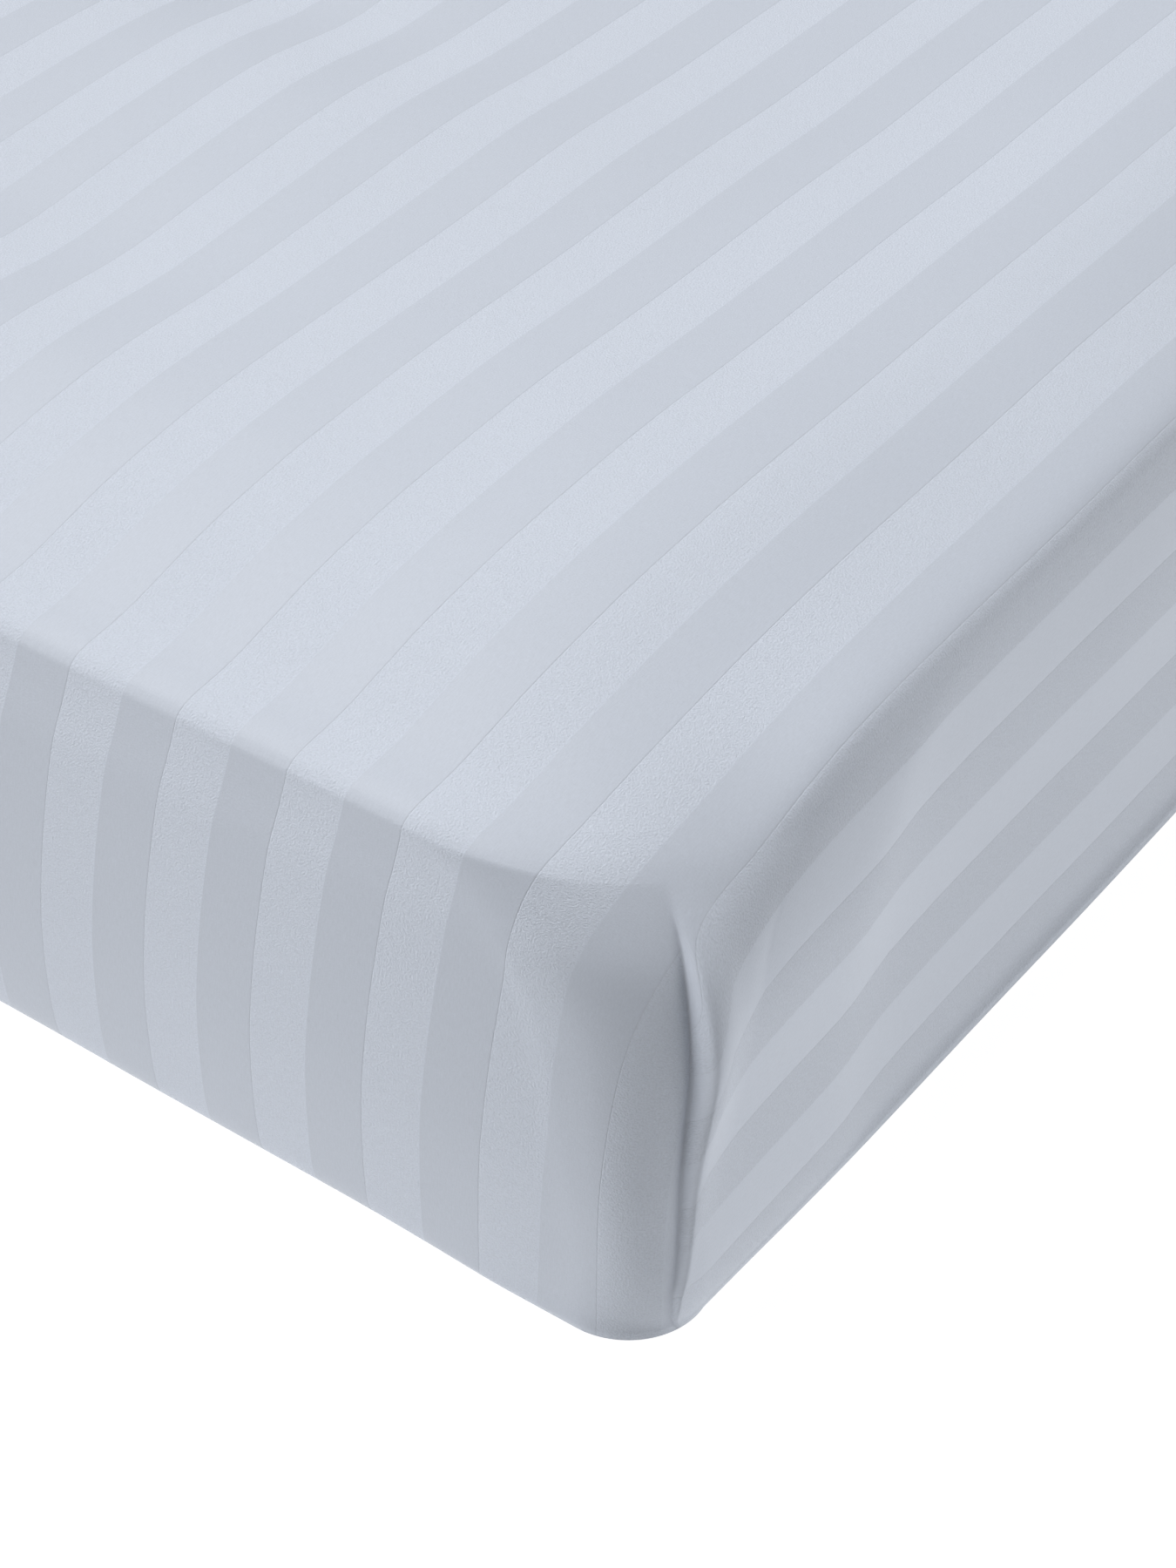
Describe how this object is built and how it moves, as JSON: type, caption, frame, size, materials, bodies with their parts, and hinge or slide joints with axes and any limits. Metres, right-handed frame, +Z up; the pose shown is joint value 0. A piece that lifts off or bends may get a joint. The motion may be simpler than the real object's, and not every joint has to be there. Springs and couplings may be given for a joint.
{
  "type": "fitted sheet on a mattress",
  "caption": "Fitted sheet of satin-striped cotton pulled over a mattress, with a soft crown, leaning walls, pleated corners and a hem turned in underneath.",
  "frame": {"origin": "middle of the underside, on the floor", "axes": "+Z up, X across the bed, Y along the bed with the foot end at -Y"},
  "size_m": [1.3474, 1.9038, 0.249],
  "materials": {
    "sateen_stripe": "pale ice blue cotton sateen with tone-on-tone stripes along the bed, a smooth warp-faced one and a fine-grained weft-faced one in turn",
    "ticking": "plain off-white woven mattress cover"
  },
  "bodies": {
    "root": {"fitted_sheet": "sateen_stripe", "mattress": "ticking"}
  },
  "joints": []
}
